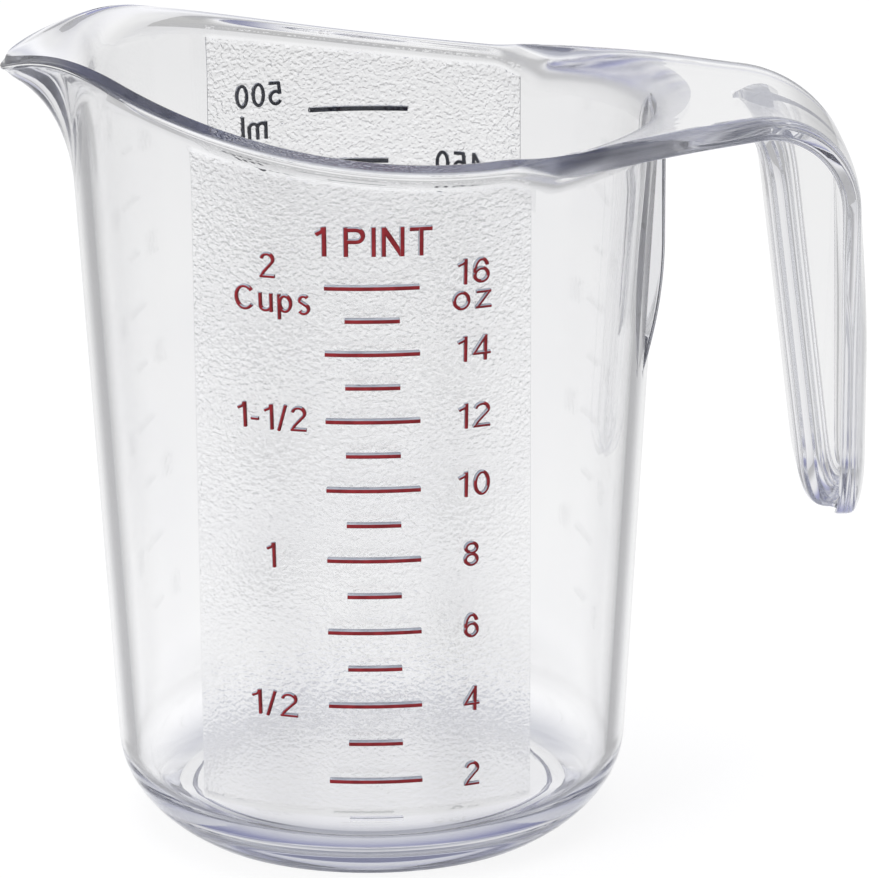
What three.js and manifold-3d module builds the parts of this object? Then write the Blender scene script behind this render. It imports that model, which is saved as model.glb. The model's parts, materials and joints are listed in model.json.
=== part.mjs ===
// A one pint measuring cup: a single clear moulding with raised volume marks inked on its front and back.
// Millimetres, +Z up. The pieces are made round the cup's own axis, with the spout along -X and the handle
// along +X, and the finished group is moved so that its box stands centred on the origin.
import * as THREE from 'three';
import { mergeVertices } from 'three/addons/utils/BufferGeometryUtils.js';
import Module from 'manifold-3d';

// Driving dimensions

// Vessel
const WALL_RADIUS = 40.0; // outer radius of the tapered wall, carried down to the table
const WALL_TAPER = 0.0561; // radius gained for each millimetre of height
const WALL_THICKNESS = 2.6;
const FLOOR_LEVEL = 5.4; // inside floor above the table
const FLOOR_FILLET = 8.0; // inside corner between floor and wall
const CORNER_HEIGHT = 13.4; // where the outside wall starts to curve in to the foot
const CORNER_CONTROL = 5.4; // height of the corner curve's control point
const FOOT_RADIUS = 32.0;
const FOOT_WIDTH = 3.0;
const FOOT_DEPTH = 1.2; // recess inside the foot ring

// Volume marks
const OUNCE = 29573.5; // cubic millimetres
const MILLILITRE = 1000;
const OUNCE_MARKS = 16;
const METRIC_MARKS = 10;
const METRIC_STEP = 50; // millilitres from one metric mark to the next
const METRIC_STRETCH = 1.0145; // the metric scale runs a little long
const MARK_HEIGHT = 0.75;
const MARK_RELIEF = 0.9; // how far a mark stands out from the wall
const MARK_SEAT = 0.05; // clearance behind a mark
const OUNCE_LONG = 14.0;
const OUNCE_SHORT = 8.1;
const OUNCE_OFFSET = 1.15; // middle of the ounce marks along X
const METRIC_LONG = 16.6;
const METRIC_SHORT = 10.0;
const METRIC_OFFSET = -2.0; // middle of the metric marks along X

// Rim and spout
const HEADROOM = 11.8; // from the highest metric mark to the lowest point of the rim
const RIM_LOW_X = 20; // where the rim is lowest
const RIM_RISE = 0.00275; // curve of the rim towards the spout
const RIM_OVERHANG = 1.1;
const RIM_EDGE = 1.5; // height of the rim's outer edge
const RIM_FLARE = 1.8; // height of the flare under the rim
const RIM_ROUND = 1.0; // rounding at the rim's inner edge
const RIM_SLOPE = 0.5; // fall of the rim's top to its outer edge
const SPOUT_REACH = 9.4; // how far the lip stands out past the rim's circle
const SPOUT_ANGLE = 14; // half width of the spout's bulge, degrees
const SPOUT_FLARE = 20; // height over which the wall leans out into the spout
const SPOUT_LIP = 2.2; // width of the top of the lip
const SPOUT_DROOP = 0.029; // curve of the lip down to its tip
const SPOUT_DROOP_SPAN = 18; // length of the drooping tip

// Handle
const HANDLE_RISE = 1.4; // handle plate above the lowest rim
const HANDLE_PLATE = 3.8; // thickness of the plate
const STRAP_THICKNESS = 2.8; // and of the strap below the bend
const HANDLE_FILLET = 3.0; // under the plate, against the wall
const HANDLE_ROUND = 6.5; // inner wall into the plate's top
const PLATE_REACH = 5.4; // from the wall to where the strap starts
const PLATE_HALF_WIDTH = 25.7; // there
const PLATE_SLOPE = 0.7; // width lost for each millimetre there
const PLATE_TANGENT = 65.7; // angle at which the plate's edge leaves the rim, degrees
const PLATE_ROOT_ANGLE = 26; // half angle of wall behind the strap, degrees
const STRAP_OFFSET = 29.9; // from the wall to the strap's edges
const STRAP_BEND = 17.0; // radius of the bend
const STRAP_DROP = 68.3; // from the plate to the tip
const STRAP_HALF_WIDTH = 11.5;
const STRAP_TAPER = 40; // length over which the plate narrows to the strap
const STRAP_CROWN = 2.3; // bulge of the strap's outer face
const CROWN_START = 18; // length along the strap at which the bulge starts
const CROWN_RUN = 42; // length over which it grows
const STRAP_TIP = 9.0; // length of the rounded tip
const TIP_SHARE = 0.3; // width left at its end, as a share of the strap's

// Web in the middle plane, the flange along its edge that lines the finger gap, and the pad on the wall
const WEB_THICKNESS = 3.0;
const GAP_ROUND = 11.0; // height of the finger gap's corner
const GAP_REACH = 5.0; // its reach along the plate
const GRIP_DEPTH_TOP = 14.4; // from the strap's edges to the finger gap, below the bend
const GRIP_DEPTH_LOW = 9.0; // and above the tip
const GRIP_TIP = 10.0; // height over which the grip rounds off to the tip
const FLANGE_THICKNESS = 4.0;
const FLANGE_WIDTH = 18.0;
const PAD_WIDTH = 21.0;
const PAD_INSET = 0.25; // pad's face behind the line of the rim's wall
const PAD_STRAIGHT = 17.2; // upright part of the face, below the plate
const PAD_CURVE = 22.7; // part below it that curves in to the wall
const PAD_LEAN = 3.6; // how far it curves in

// Fineness of the faceted surfaces
const RIM_STEPS = 26; // from the spout's tip to the plate's edge
const PLATE_STEPS = 6; // along the plate's edge
const STRAP_STEPS = 8; // across the strap
const FLARE_STEPS = 4; // up a flare
const ROUND_STEPS = 3; // round a corner
const MARK_STEPS = 6; // along a mark
const SEAM = 0.75; // how deep joined pieces run into a wall, as a share of its thickness

const clear = new THREE.MeshStandardMaterial({
  color: 0xdfe3ea, roughness: 0.08, metalness: 0, transparent: true, opacity: 0.4,
});
const redInk = new THREE.MeshStandardMaterial({ color: 0x9c1f24, roughness: 0.45, metalness: 0 });
const blueInk = new THREE.MeshStandardMaterial({ color: 0x1d2b4a, roughness: 0.45, metalness: 0 });

const wasm = await Module();
wasm.setup();

// Small helpers

const radians = THREE.MathUtils.degToRad;
const mix = THREE.MathUtils.lerp;
const smooth = THREE.MathUtils.smoothstep;

function range(count, pick) {
  return Array.from({ length: count }, (unused, i) => pick(i));
}

function quadratic(a, b, c, t) {
  const s = 1 - t;
  return s * s * a + 2 * s * t * b + t * t * c;
}

function solidFrom(geometry) {
  geometry.deleteAttribute('normal');
  geometry.deleteAttribute('uv');
  const merged = mergeVertices(geometry, 1e-4);
  return new wasm.Manifold(new wasm.Mesh({
    numProp: 3,
    vertProperties: new Float32Array(merged.attributes.position.array),
    triVerts: new Uint32Array(merged.index.array),
  }));
}

function geometryFrom(solid) {
  const mesh = solid.getMesh();
  const geometry = new THREE.BufferGeometry();
  geometry.setAttribute('position', new THREE.BufferAttribute(mesh.vertProperties, 3));
  geometry.setIndex(new THREE.BufferAttribute(mesh.triVerts, 1));
  geometry.computeVertexNormals();
  return geometry;
}

// Vessel profile and the levels of its volume marks

const outerRadius = (z) => WALL_RADIUS + WALL_TAPER * z;
const innerRadius = (z) => outerRadius(z) - WALL_THICKNESS;
const filletTop = FLOOR_LEVEL + FLOOR_FILLET;
const filletCentre = innerRadius(filletTop) - FLOOR_FILLET;

function hollowRadius(z) {
  if (z >= filletTop) return innerRadius(z);
  const drop = filletTop - z;
  return filletCentre + Math.sqrt(Math.max(0, FLOOR_FILLET ** 2 - drop ** 2));
}

// Height at which the vessel holds a volume, by adding up thin slices
function levelOf(volume) {
  const slice = 0.02;
  let z = FLOOR_LEVEL;
  let held = 0;
  while (held < volume) {
    held += Math.PI * hollowRadius(z + slice / 2) ** 2 * slice;
    z += slice;
  }
  return z;
}

const metricLevel = (millilitres) => mix(FLOOR_LEVEL, levelOf(millilitres * MILLILITRE), METRIC_STRETCH);

const rimLow = metricLevel(METRIC_MARKS * METRIC_STEP) + HEADROOM;
const rimRadius = outerRadius(rimLow);
const lipRadius = rimRadius + RIM_OVERHANG;
const plateLevel = rimLow + HANDLE_RISE;
const plateEnd = rimRadius + PLATE_REACH;
const spoutTip = lipRadius + SPOUT_REACH;

// Height of the rim's top at a distance along X
function rimHeight(x) {
  if (x > RIM_LOW_X) return rimLow + HANDLE_RISE * smooth(x, RIM_LOW_X, plateEnd);
  const droop = Math.max(0, SPOUT_DROOP_SPAN - spoutTip - x);
  return rimLow + RIM_RISE * (x - RIM_LOW_X) ** 2 - SPOUT_DROOP * droop ** 2;
}

// Share of the spout's bulge at an angle from the spout, 1 at the tip and 0 across the cup
function spoutShare(angle) {
  const bell = (a) => 1 / (1 + (a / SPOUT_ANGLE) ** 2);
  const across = bell(90);
  return Math.max(0, (bell(angle) - across) / (1 - across));
}

// One column of the moulding's surface for each place round the rim: the angle of its wall, and the point
// of the rim's outline that it ends at

function rimColumns() {
  const tangent = radians(PLATE_TANGENT);
  const leave = new THREE.Vector2(Math.cos(tangent), Math.sin(tangent)).multiplyScalar(lipRadius);
  const circleSlope = leave.x / leave.y;
  const cornerX = (leave.y + circleSlope * leave.x - PLATE_HALF_WIDTH - PLATE_SLOPE * plateEnd)
    / (circleSlope - PLATE_SLOPE);
  const corner = new THREE.Vector2(cornerX, PLATE_HALF_WIDTH + PLATE_SLOPE * (plateEnd - cornerX));
  const end = new THREE.Vector2(plateEnd, PLATE_HALF_WIDTH);
  const edge = new THREE.QuadraticBezierCurve(leave, corner, end);

  const rim = range(RIM_STEPS, (i) => {
    const degrees = mix(180, PLATE_TANGENT, i / RIM_STEPS);
    const share = spoutShare(180 - degrees);
    const r = lipRadius + SPOUT_REACH * share;
    const angle = radians(degrees);
    return { angle, share, x: r * Math.cos(angle), y: r * Math.sin(angle) };
  });
  const plate = range(PLATE_STEPS, (i) => {
    const t = i / PLATE_STEPS;
    const point = edge.getPoint(t);
    return { angle: radians(mix(PLATE_TANGENT, PLATE_ROOT_ANGLE, t)), share: 0, x: point.x, y: point.y };
  });
  const far = [...rim, ...plate];
  const near = far.map((column) => ({ ...column, angle: -column.angle, y: -column.y }));
  const root = range(STRAP_STEPS + 1, (i) => {
    const side = mix(-1, 1, i / STRAP_STEPS);
    return { angle: radians(side * PLATE_ROOT_ANGLE), share: 0, x: plateEnd, y: side * PLATE_HALF_WIDTH };
  });
  return { columns: [...near, ...root, ...far.slice(1).reverse()], first: near.length };
}

// Rows of one column: up the inside from the floor, over the rim and down the outside to the foot.
// A flare is a quadratic curve from the wall out to the lip.
function columnRows(column) {
  const radial = new THREE.Vector2(Math.cos(column.angle), Math.sin(column.angle));
  const outline = new THREE.Vector2(column.x, column.y);
  const out = outline.clone().addScaledVector(radial, -rimRadius);
  const reach = out.length();
  out.normalize();
  const { share } = column;
  const plateShare = smooth(reach, RIM_OVERHANG, RIM_OVERHANG + HANDLE_FILLET) * (share > 0 ? 0 : 1);
  const at = (distance, z, wallRadius) => {
    const place = radial.clone().multiplyScalar(wallRadius);
    if (distance < 0) place.addScaledVector(radial, distance);
    else place.addScaledVector(out, distance);
    return new THREE.Vector3(place.x, place.y, z);
  };
  const ring = (r, z) => new THREE.Vector3(radial.x * r, radial.y * r, z);
  const edgeHeight = mix(RIM_EDGE, HANDLE_PLATE, plateShare);
  const top = rimHeight(column.x);
  const bottom = top - edgeHeight;
  const rows = [];

  rows.push(ring(filletCentre, FLOOR_LEVEL));
  for (let i = 1; i <= ROUND_STEPS; i += 1) {
    const turn = (i / ROUND_STEPS) * (Math.PI / 2);
    rows.push(ring(filletCentre + FLOOR_FILLET * Math.sin(turn), filletTop - FLOOR_FILLET * Math.cos(turn)));
  }

  const round = mix(RIM_ROUND, HANDLE_ROUND, plateShare);
  const innerStart = -WALL_THICKNESS;
  const innerEnd = mix(innerStart + round, reach - SPOUT_LIP, share);
  const innerHeight = mix(round, SPOUT_FLARE + RIM_EDGE, share);
  const innerControl = mix(0, SPOUT_FLARE / 3, share);
  for (let i = 0; i <= FLARE_STEPS; i += 1) {
    const t = i / FLARE_STEPS;
    const distance = quadratic(innerStart, innerStart, innerEnd, t);
    const x = at(distance, 0, rimRadius).x;
    const level = mix(top, rimHeight(x), Math.min(1, plateShare + share));
    const z = quadratic(level - innerHeight, level - innerControl, level, t);
    rows.push(at(distance, z, outerRadius(z)));
  }

  rows.push(at(reach, top - RIM_SLOPE * (1 - plateShare), rimRadius));
  const upper = rows.length - 1;
  rows.push(at(reach, bottom, rimRadius));

  const flare = mix(mix(RIM_FLARE, HANDLE_FILLET, plateShare), SPOUT_FLARE, share);
  const flareEnd = Math.min(0.8 * reach, mix(HANDLE_FILLET, reach, share));
  const flareTop = bottom - (reach - flareEnd) * 0.6 * share;
  const flareControl = mix(0, flare / 3.3, share);
  for (let i = FLARE_STEPS; i >= 0; i -= 1) {
    const t = i / FLARE_STEPS;
    const z = quadratic(bottom - flare, bottom - flareControl, flareTop, t);
    const distance = quadratic(0, 0, flareEnd, t);
    rows.push(at(distance, z, mix(outerRadius(z), rimRadius, t * t)));
  }

  rows.push(ring(outerRadius(CORNER_HEIGHT), CORNER_HEIGHT));
  for (let i = 1; i <= ROUND_STEPS; i += 1) {
    const t = i / ROUND_STEPS;
    const r = quadratic(outerRadius(CORNER_HEIGHT), outerRadius(CORNER_CONTROL), FOOT_RADIUS, t);
    rows.push(ring(r, quadratic(CORNER_HEIGHT, CORNER_CONTROL, 0, t)));
  }
  rows.push(ring(FOOT_RADIUS - FOOT_WIDTH, 0));
  rows.push(ring(FOOT_RADIUS - FOOT_WIDTH - FOOT_DEPTH / 2, FOOT_DEPTH));
  return { rows, upper };
}

// Path of the strap's edges in the XZ plane: out along the plate, round the bend and down to the tip

const strapX = rimRadius + STRAP_OFFSET;
const tipLevel = plateLevel - STRAP_DROP;
const strapPath = new THREE.Path();
strapPath.moveTo(plateEnd, plateLevel);
strapPath.lineTo(strapX - STRAP_BEND, plateLevel);
strapPath.absarc(strapX - STRAP_BEND, plateLevel - STRAP_BEND, STRAP_BEND, Math.PI / 2, 0, true);
strapPath.lineTo(strapX, tipLevel);
const strapLength = strapPath.getLength();

// Lengths along the strap at which its section is drawn: close together in the bend and at the tip
function strapStations() {
  const straight = strapX - STRAP_BEND - plateEnd;
  const bendEnd = straight + STRAP_BEND * Math.PI / 2;
  const tipStart = strapLength - STRAP_TIP;
  return [
    straight / 2, straight,
    ...range(6, (i) => mix(straight, bendEnd, (i + 1) / 6)),
    ...range(4, (i) => mix(bendEnd, tipStart, (i + 1) / 4)),
    ...range(4, (i) => tipStart + STRAP_TIP * Math.sin((i + 1) * Math.PI / 9)),
    strapLength,
  ];
}

// Place, outward direction, half width, bulge and thickness of the strap at a length along it
function strapFrame(length) {
  const u = length / strapLength;
  const place = strapPath.getPointAt(u);
  const along = strapPath.getTangentAt(u);
  const outward = new THREE.Vector2(-along.y, along.x);
  const narrowing = Math.max(0, 1 - length / STRAP_TAPER) ** 2;
  const intoTip = Math.max(0, (length - strapLength + STRAP_TIP) / STRAP_TIP);
  const tipShare = Math.sqrt(1 - intoTip ** 2 * (1 - TIP_SHARE ** 2));
  const half = mix(STRAP_HALF_WIDTH, PLATE_HALF_WIDTH, narrowing) * tipShare;
  const crown = STRAP_CROWN * smooth(length, CROWN_START, CROWN_START + CROWN_RUN) * tipShare;
  const thickness = mix(HANDLE_PLATE, STRAP_THICKNESS, smooth(length, 0, STRAP_TAPER));
  return { place, outward, half, crown, thickness };
}

function strapSection(length) {
  const { place, outward, half, crown, thickness } = strapFrame(length);
  const point = (side, depth) => {
    const lift = crown * (1 - side * side) - depth;
    return new THREE.Vector3(place.x + outward.x * lift, side * half, place.y + outward.y * lift);
  };
  const sides = range(STRAP_STEPS + 1, (i) => mix(-1, 1, i / STRAP_STEPS));
  return [
    ...sides.map((side) => point(side, 0)),
    ...sides.toReversed().map((side) => point(side, thickness)),
  ];
}

// The vessel with its rim, spout, plate and strap, as one closed skin
function shellSolid() {
  const { columns, first } = rimColumns();
  const made = columns.map(columnRows);
  const { upper } = made[0];
  const rowCount = made[0].rows.length;
  const points = made.flatMap((column) => column.rows);
  const faces = [];
  const quad = (a, b, c, d) => faces.push(a, b, c, a, c, d);
  const vertex = (c, r) => (c % columns.length) * rowCount + r;
  const last = first + STRAP_STEPS;

  const floorMiddle = points.push(new THREE.Vector3(0, 0, FLOOR_LEVEL)) - 1;
  const footMiddle = points.push(new THREE.Vector3(0, 0, FOOT_DEPTH)) - 1;
  columns.forEach((column, c) => {
    faces.push(floorMiddle, vertex(c, 0), vertex(c + 1, 0));
    for (let r = 0; r < rowCount - 1; r += 1) {
      const strapRoot = r === upper && c >= first && c < last;
      if (!strapRoot) quad(vertex(c, r), vertex(c, r + 1), vertex(c + 1, r + 1), vertex(c + 1, r));
    }
    faces.push(footMiddle, vertex(c + 1, rowCount - 1), vertex(c, rowCount - 1));
  });

  const across = range(STRAP_STEPS + 1, (i) => first + i);
  let loop = [...across.map((c) => vertex(c, upper)), ...across.toReversed().map((c) => vertex(c, upper + 1))];
  strapStations().forEach((length) => {
    const next = strapSection(length).map((point) => points.push(point) - 1);
    loop.forEach((a, j) => {
      const k = (j + 1) % loop.length;
      quad(a, next[j], next[k], loop[k]);
    });
    loop = next;
  });
  for (let j = 0; j < STRAP_STEPS; j += 1) {
    const under = loop.length - 1 - j;
    quad(loop[j + 1], loop[j], loop[under], loop[under - 1]);
  }

  const geometry = new THREE.BufferGeometry().setFromPoints(points);
  geometry.setIndex(faces);
  return solidFrom(geometry);
}

const gapTop = plateLevel - HANDLE_PLATE;
const gripTop = strapX - GRIP_DEPTH_TOP;
const wallSeat = SEAM * WALL_THICKNESS;
const plateSeat = SEAM * STRAP_THICKNESS;

// Edge of the finger gap in the XZ plane, from the plate down the grip and round to the strap's tip
function gapEdge() {
  const gripLow = strapX - GRIP_DEPTH_LOW;
  const lowLevel = tipLevel + GRIP_TIP;
  const lean = (gripLow - gripTop) / (gapTop - GAP_ROUND - lowLevel);
  const seatX = strapX + STRAP_CROWN * TIP_SHARE - STRAP_THICKNESS / 2;
  const edge = new THREE.Path();
  edge.moveTo(gripTop - GAP_REACH, plateLevel - plateSeat);
  edge.lineTo(gripTop - GAP_REACH, gapTop);
  edge.quadraticCurveTo(gripTop - lean * GAP_ROUND, gapTop, gripTop, gapTop - GAP_ROUND);
  edge.lineTo(gripLow, lowLevel);
  edge.quadraticCurveTo(gripLow + lean * GRIP_TIP, tipLevel, seatX, tipLevel);
  return edge;
}

// A flat shape in the XZ plane given a thickness along Y
function slab(shape, thickness) {
  const geometry = new THREE.ExtrudeGeometry(shape, { depth: thickness, bevelEnabled: false });
  geometry.rotateX(Math.PI / 2);
  geometry.translate(0, thickness / 2, 0);
  return solidFrom(geometry);
}

// The room that the flange has: its width, with a half round end at the strap's tip
function flangeRoom() {
  const half = FLANGE_WIDTH / 2;
  const shape = new THREE.Shape();
  shape.moveTo(half, plateLevel - plateSeat);
  shape.lineTo(-half, plateLevel - plateSeat);
  shape.lineTo(-half, tipLevel + STRAP_TIP);
  shape.absellipse(0, tipLevel + STRAP_TIP, half, STRAP_TIP, Math.PI, 2 * Math.PI, false);
  const geometry = new THREE.ExtrudeGeometry(shape, { depth: 2 * strapX, bevelEnabled: false, curveSegments: 8 });
  geometry.rotateX(Math.PI / 2);
  geometry.rotateZ(Math.PI / 2);
  return solidFrom(geometry);
}

function flangeSolid(edgePoints) {
  const inner = edgePoints.slice(1);
  const outer = inner.map((point, i) => {
    const before = inner[Math.max(0, i - 1)];
    const after = inner[Math.min(inner.length - 1, i + 1)];
    const along = after.clone().sub(before).normalize();
    return point.clone().add(new THREE.Vector2(-along.y, along.x).multiplyScalar(FLANGE_THICKNESS));
  });
  const band = slab(new THREE.Shape([...inner, ...outer.reverse()]), FLANGE_WIDTH);
  return band.intersect(flangeRoom());
}

// The web fills the plane between the finger gap's edge and the middle of the strap
function webSolid(edgePoints) {
  const start = gripTop - GAP_REACH - plateEnd;
  const seats = strapStations().filter((length) => length > start && length < strapLength).map((length) => {
    const { place, outward, crown, thickness } = strapFrame(length);
    return place.clone().addScaledVector(outward, crown - thickness / 2);
  });
  return slab(new THREE.Shape([...edgePoints, ...seats.reverse()]), WEB_THICKNESS);
}

// Pad on the wall across the finger gap, flat from side to side, which curves in to the wall lower down
function padSolid() {
  const face = rimRadius - PAD_INSET;
  const straightEnd = gapTop - PAD_STRAIGHT;
  const low = straightEnd - PAD_CURVE;
  const top = plateLevel - plateSeat;
  const shape = new THREE.Shape();
  shape.moveTo(outerRadius(low) - wallSeat, low);
  shape.lineTo(face - PAD_LEAN, low);
  shape.quadraticCurveTo(face, (low + straightEnd) / 2, face, straightEnd);
  shape.lineTo(face, top);
  shape.lineTo(outerRadius(top) - wallSeat, top);
  return slab(shape, PAD_WIDTH);
}

function cupBody() {
  const edgePoints = gapEdge().getPoints(6);
  const handle = webSolid(edgePoints).add(flangeSolid(edgePoints)).add(padSolid());
  const mesh = new THREE.Mesh(geometryFrom(shellSolid().add(handle)), clear);
  mesh.name = 'cup_body';
  return mesh;
}

// A raised bar that follows the wall, centred on an angle
function markMesh(name, level, length, angle, material) {
  const inner = outerRadius(level + MARK_HEIGHT / 2) + MARK_SEAT;
  const outer = inner + MARK_RELIEF;
  const half = length / 2 / inner;
  const shape = new THREE.Shape();
  shape.absarc(0, 0, outer, angle - half, angle + half, false);
  shape.absarc(0, 0, inner, angle + half, angle - half, true);
  const geometry = new THREE.ExtrudeGeometry(shape, {
    depth: MARK_HEIGHT, bevelEnabled: false, curveSegments: MARK_STEPS,
  });
  const mesh = new THREE.Mesh(geometry, material);
  mesh.position.z = level - MARK_HEIGHT / 2;
  mesh.name = name;
  return mesh;
}

function ounceMarks() {
  return range(OUNCE_MARKS, (i) => {
    const ounces = i + 1;
    const level = levelOf(ounces * OUNCE);
    const front = -Math.PI / 2 + OUNCE_OFFSET / outerRadius(level);
    const length = ounces % 2 === 0 ? OUNCE_LONG : OUNCE_SHORT;
    const name = `ounce_mark_${String(ounces).padStart(2, '0')}`;
    return markMesh(name, level, length, front, ounces === 1 ? clear : redInk);
  });
}

function metricMarks() {
  return range(METRIC_MARKS, (i) => {
    const millilitres = (i + 1) * METRIC_STEP;
    const level = metricLevel(millilitres);
    const length = i % 2 === 1 ? METRIC_LONG : METRIC_SHORT;
    const back = Math.PI / 2 - METRIC_OFFSET / outerRadius(level);
    const name = `metric_mark_${String(millilitres).padStart(3, '0')}`;
    return markMesh(name, level, length, back, blueInk);
  });
}

const group = new THREE.Group();
const body = cupBody();
group.add(body, ...ounceMarks(), ...metricMarks());
group.position.x = -new THREE.Box3().setFromObject(body).getCenter(new THREE.Vector3()).x;

export default group;
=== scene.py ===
"""Looks of a clear one pint measuring cup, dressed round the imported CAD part.

Shapes are worked out in millimetres round the cup's own axis, with the spout along -X, the handle along +X
and +Z up. They go into the meshes in metres, in the part's frame.
"""

import json
import math

import bpy
import numpy as np
from mathutils import Matrix, Vector


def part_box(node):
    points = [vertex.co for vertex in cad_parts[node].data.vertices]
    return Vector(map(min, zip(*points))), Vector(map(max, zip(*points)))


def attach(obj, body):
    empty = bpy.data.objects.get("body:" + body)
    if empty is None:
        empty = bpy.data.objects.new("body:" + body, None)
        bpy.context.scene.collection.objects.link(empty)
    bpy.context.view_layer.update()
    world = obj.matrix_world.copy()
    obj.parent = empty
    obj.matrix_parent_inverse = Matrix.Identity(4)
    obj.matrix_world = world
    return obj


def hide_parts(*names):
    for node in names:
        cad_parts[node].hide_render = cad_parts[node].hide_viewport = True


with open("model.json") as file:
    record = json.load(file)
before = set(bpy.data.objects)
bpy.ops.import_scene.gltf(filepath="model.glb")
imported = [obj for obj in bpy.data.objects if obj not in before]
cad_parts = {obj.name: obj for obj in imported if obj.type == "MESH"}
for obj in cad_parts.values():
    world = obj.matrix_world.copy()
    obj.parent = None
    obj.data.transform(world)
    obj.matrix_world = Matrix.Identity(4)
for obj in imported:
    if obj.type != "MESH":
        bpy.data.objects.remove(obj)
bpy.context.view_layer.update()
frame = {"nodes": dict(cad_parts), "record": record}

# Vessel, millimetres
WALL_RADIUS = 40.0
WALL_TAPER = 0.0561
WALL_THICKNESS = 2.6
FLOOR_LEVEL = 5.4
FLOOR_FILLET = 8.0
CORNER_HEIGHT = 13.4
CORNER_CONTROL = 5.4
FOOT_RADIUS = 32.0
FOOT_WIDTH = 3.0
FOOT_DEPTH = 1.2
FOOT_EDGE = 0.3
FOOT_LIFT = 0.2
POLE_RADIUS = 1.0

# Rim and spout
HEADROOM = 11.8
RIM_LOW_X = 20.0
RIM_RISE = 0.00275
RIM_OVERHANG = 1.1
RIM_EDGE = 1.5
RIM_FLARE = 1.8
RIM_ROUND = 1.0
RIM_SLOPE = 0.5
SPOUT_REACH = 9.4
SPOUT_ANGLE = 14.0
SPOUT_FLARE = 20.0
SPOUT_LIP = 1.5
SPOUT_DROOP = 0.029
SPOUT_DROOP_SPAN = 18.0
FLARE_SHARE = 0.8  # most of the reach that a flare takes
LIP_FALL = 0.6  # slope of the spout's underside between its lip and its flare
INNER_HOLD = 3.0  # a flare's height over the drop of its control point
OUTER_HOLD = 3.3
UNDER_SHARE = 0.9  # most of the underside that its edge's rounding takes
EDGE_ROUND = 0.6
PLATE_EDGE_ROUND = 1.5
STRAP_EDGE_ROUND = 0.9

# Handle
HANDLE_RISE = 1.4
HANDLE_PLATE = 3.8
STRAP_THICKNESS = 2.8
HANDLE_FILLET = 3.0
HANDLE_ROUND = 6.5
PLATE_REACH = 5.4
PLATE_HALF_WIDTH = 25.7
PLATE_SLOPE = 0.7
PLATE_TANGENT = 65.7
PLATE_ROOT_ANGLE = 26.0
PLATE_TURN = 6.0
STRAP_OFFSET = 29.9
STRAP_BEND = 17.0
STRAP_DROP = 68.3
STRAP_HALF_WIDTH = 11.5
STRAP_TAPER = 40.0
STRAP_CROWN = 2.3
CROWN_START = 18.0
CROWN_RUN = 42.0
STRAP_TIP = 9.0
TIP_SHARE = 0.3

# Web, flange round the finger gap, and pad on the wall
WEB_HALF = 1.5
WEB_FILLET = 2.0
GAP_ROUND = 11.0
GAP_REACH = 5.0
GRIP_DEPTH_TOP = 14.4
GRIP_DEPTH_LOW = 9.0
GRIP_TIP = 10.0
GRIP_END = 0.94  # share of the last curve that the grip follows
TIP_LIMIT = 0.97  # share of the tip's ellipse that the flange and web follow
GAP_SEAT = 0.02
WEB_STEP = 0.02
WEB_OVERLAP = 0.2
LEAST_LEVEL = 0.3  # least level share of a normal that a distance is divided by
FLANGE_THICKNESS = 4.0
FLANGE_HALF = 9.0
FLANGE_FLARE = 2.0
FLANGE_GROWTH = 7.0
FLANGE_NOSE = 0.3
NOSE_SHARE = 0.2
PAD_HALF = 10.5
PAD_EDGE = 0.7
PAD_INSET = 0.25
PAD_STRAIGHT = 17.2
PAD_CURVE = 22.7
PAD_LEAN = 3.6
PAD_EDGE_SHARE = 0.45  # most of the pad's depth that an edge's rounding takes
PAD_LEAST = 0.1
PAD_ROOT = 2.2  # least depth of the pad, in edge roundings
SEAM = 0.75

# Numbers of points along and across the meshes
RIM_COLUMNS = (70, 60, 9, 26)
FLOOR_ROWS = 14
FILLET_ROWS = 13
WALL_ROWS = 26
FLARE_ROWS = 13
TOP_ROWS = 7
UNDER_ROWS = 5
PANEL_ROWS = 48
CORNER_ROWS = 19
RECESS_ROWS = 10
STRAP_ROWS = (7, 25, 21, 17)
STRAP_ACROSS = 33
EDGE_STEPS = 6
GAP_ROWS = (17, 31, 17)
MIDDLE_ROWS = 180
FLANGE_STEPS = 15
PAD_ROWS = (25, 11)
BAR_STEPS = 25

# Textured panels: the X of each one's left and right edges, the rows beside their ends as shares of the
# wall's height, and how far proud of the wall a face of theirs lies
PANEL_FRONT = (-25.7, 24.9)
PANEL_BACK = (-27.3, 25.3)
PANEL_STEP = 0.14
PANEL_BEVEL = 0.15
PANEL_ENDS = (0.0035, 0.01)
PANEL_PROUD = (0.082, 0.19)

# Plate's inner rounding: least inward and upward shares of a face's normal, and the run in X over which it
# turns satin
ROUNDING_INWARD = 0.03
ROUNDING_UPWARD = 0.05
ROUNDING_RUN = 8.0

# Marks and lettering
OUNCE_OFFSET = 1.15
MARK_SEAT = 0.05
MARK_RELIEF = 0.9
MARK_TOP_BEVEL = 0.14
MARK_LOW_BEVEL = 0.08
LETTER_BEVEL = 0.13
LETTER_RELIEF = 0.55
STROKE_HALF = 0.066
TITLE_STROKE_HALF = 0.082
LETTER_HEIGHT = 4.0
TITLE_HEIGHT = 4.55
LETTER_SPACE = 0.14
STROKE_STEP = 0.006
MITRE_LEAST = 0.5
SAME_PLACE = 1e-6
SHARP_LETTER = 28
SHARP_MOULDING = 30

# Direction whose faces take the grey side paint instead of ink, on the front and on the back, and how far
# they turn to it. The ink is missing on these bare sides, and their grey is a painted reflection that
# stands in for clear plastic
PAINTED_SHEEN_FRONT = (-0.6, 0, 0.8)
PAINTED_SHEEN_BACK = (0, 0, 0.8)
PAINTED_SHEEN_LIMIT = 0.3

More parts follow.
